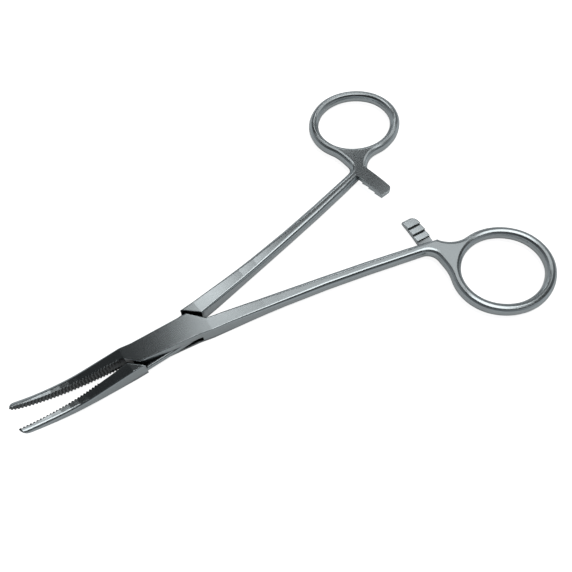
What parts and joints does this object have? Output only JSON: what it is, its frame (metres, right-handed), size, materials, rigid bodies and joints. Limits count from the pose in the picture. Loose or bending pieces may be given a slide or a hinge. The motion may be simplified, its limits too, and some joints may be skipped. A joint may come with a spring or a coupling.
{
  "type": "hemostat forceps",
  "caption": "Curved hemostat forceps with serrated jaws, a box-lock hinge, an interlocking step ratchet and oval finger rings.",
  "frame": {"origin": "on the pivot axis, at the underside of the box, which the instrument lies on", "axes": "+X from the pivot towards the finger rings, halfway between them at rest; +Z along the pivot axis, the way the jaw tips curve"},
  "size_m": [0.1378, 0.0918, 0.0072],
  "materials": {
    "forged_steel": "satin",
    "pin_steel": "satin"
  },
  "bodies": {
    "female": {"female_half": "forged_steel", "pivot_pin": "pin_steel"},
    "male": {"male_half": "forged_steel"}
  },
  "joints": [
    {"name": "box_lock", "type": "hinge", "parent": "female", "child": "male", "pos_m": [0, 0, 0.0024], "axis": [0, 0, 1], "range_deg": [-8.6, 51.4]}
  ]
}
